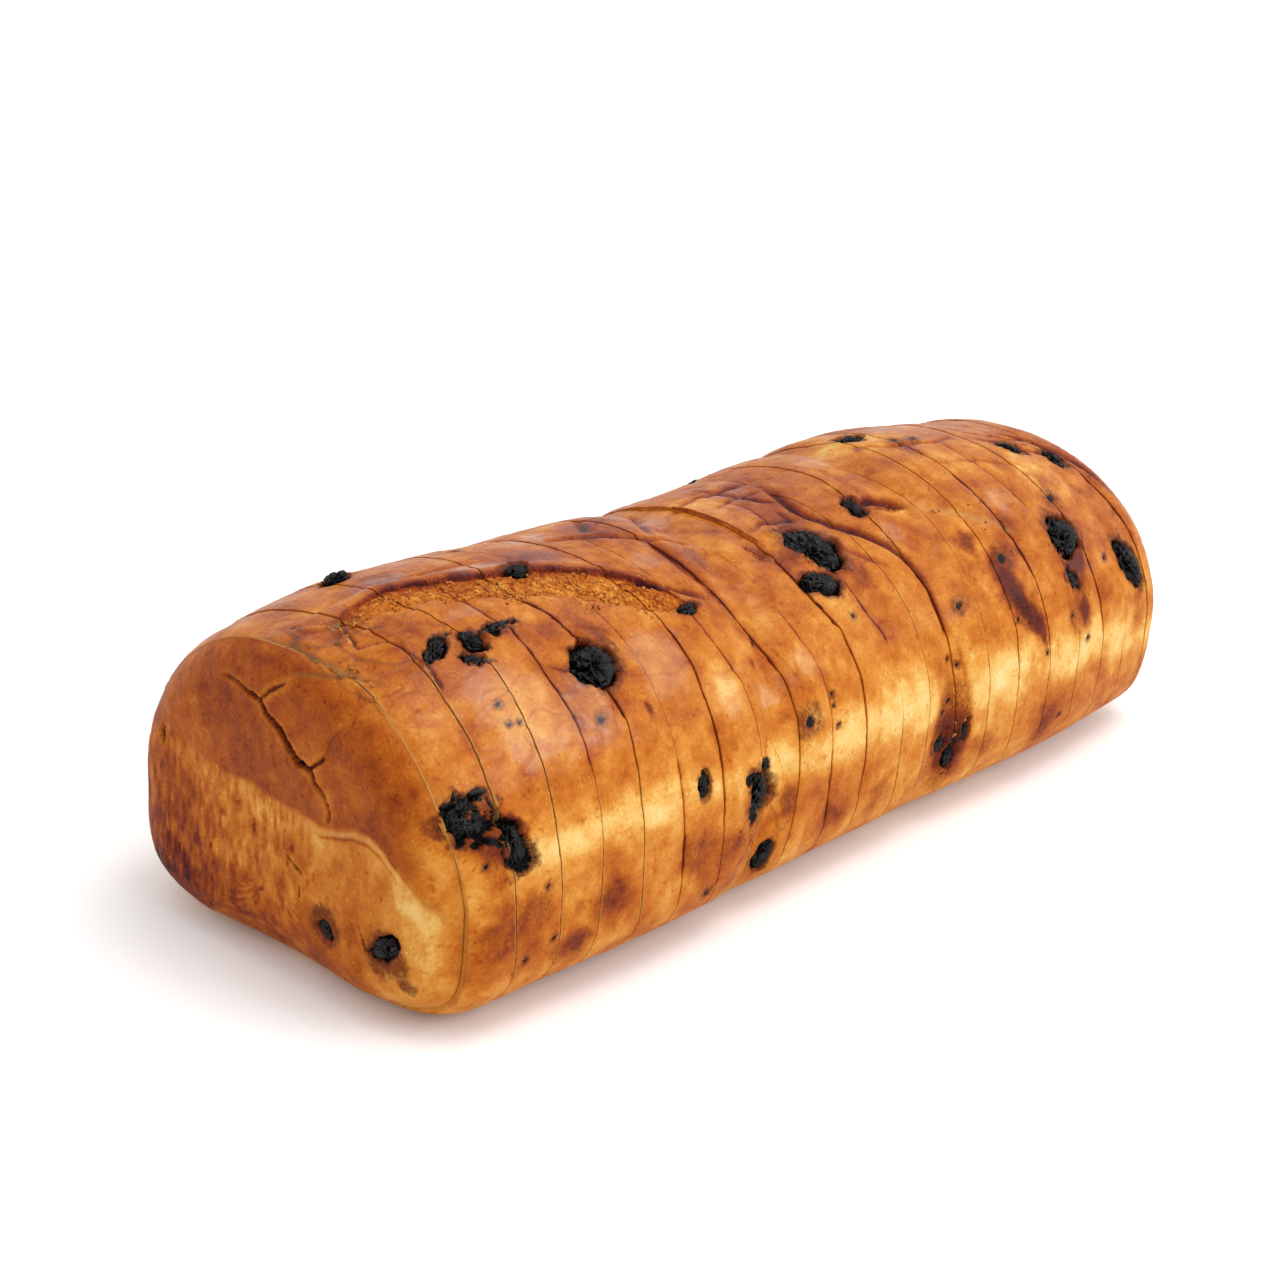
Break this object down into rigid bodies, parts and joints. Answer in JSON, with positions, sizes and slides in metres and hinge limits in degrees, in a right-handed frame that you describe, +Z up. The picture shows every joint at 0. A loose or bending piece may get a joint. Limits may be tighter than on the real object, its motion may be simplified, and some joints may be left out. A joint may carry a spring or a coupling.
{
  "type": "sliced raisin tin loaf",
  "caption": "Raisin bread baked in a tin, sliced from heel to heel and still in one row, with a torn, domed, egg-washed crust and raisins showing in it.",
  "frame": {"origin": "centre of the loaf's base, on the surface it stands on", "axes": "+X along the loaf from the near heel, which has the cracked dome, to the far heel; -Y out of the long side that shows most fruit; +Z up"},
  "size_m": [0.2722, 0.1085, 0.078],
  "materials": {
    "crust": "egg-washed bread crust, orange-brown with a soft gloss, a pale yellow band along the sides at the height of the tin's rim, and cream crumb at the cuts",
    "raisin": "baked raisin skin, near black, wrinkled, satin"
  },
  "bodies": {
    "root": {"heel_far": "crust", "heel_near": "crust", "raisin_back_a": "raisin", "raisin_back_b": "raisin", "raisin_back_c": "raisin", "raisin_back_d": "raisin", "raisin_by_the_eye": "raisin", "raisin_corner_large": "raisin", "raisin_corner_right_a": "raisin", "raisin_corner_right_b": "raisin", "raisin_crease_lower": "raisin", "raisin_crease_right": "raisin", "raisin_crease_upper": "raisin", "raisin_crown_large_a": "raisin", "raisin_crown_large_b": "raisin", "raisin_crown_low": "raisin", "raisin_far_corner": "raisin", "raisin_far_heel_a": "raisin", "raisin_far_heel_b": "raisin", "raisin_far_round": "raisin", "raisin_far_top_left": "raisin", "raisin_far_top_right": "raisin", "raisin_far_under": "raisin", "raisin_near_low": "raisin", "raisin_near_mid": "raisin", "raisin_round_a": "raisin", "raisin_round_b": "raisin", "raisin_side_base": "raisin", "raisin_side_slim": "raisin", "raisin_side_tall_a": "raisin", "raisin_side_tall_b": "raisin", "raisin_skyline": "raisin", "raisin_skyline_far": "raisin", "raisin_tear_end": "raisin", "raisin_tear_lip": "raisin", "raisin_torn_left": "raisin", "raisin_torn_low": "raisin", "raisin_torn_middle": "raisin", "raisin_torn_right": "raisin", "slice_01": "crust", "slice_02": "crust", "slice_03": "crust", "slice_04": "crust", "slice_05": "crust", "slice_06": "crust", "slice_07": "crust", "slice_08": "crust", "slice_09": "crust", "slice_10": "crust", "slice_11": "crust", "slice_12": "crust", "slice_13": "crust", "slice_14": "crust", "slice_15": "crust", "slice_16": "crust", "slice_17": "crust", "slice_18": "crust", "slice_19": "crust", "slice_20": "crust"}
  },
  "joints": []
}
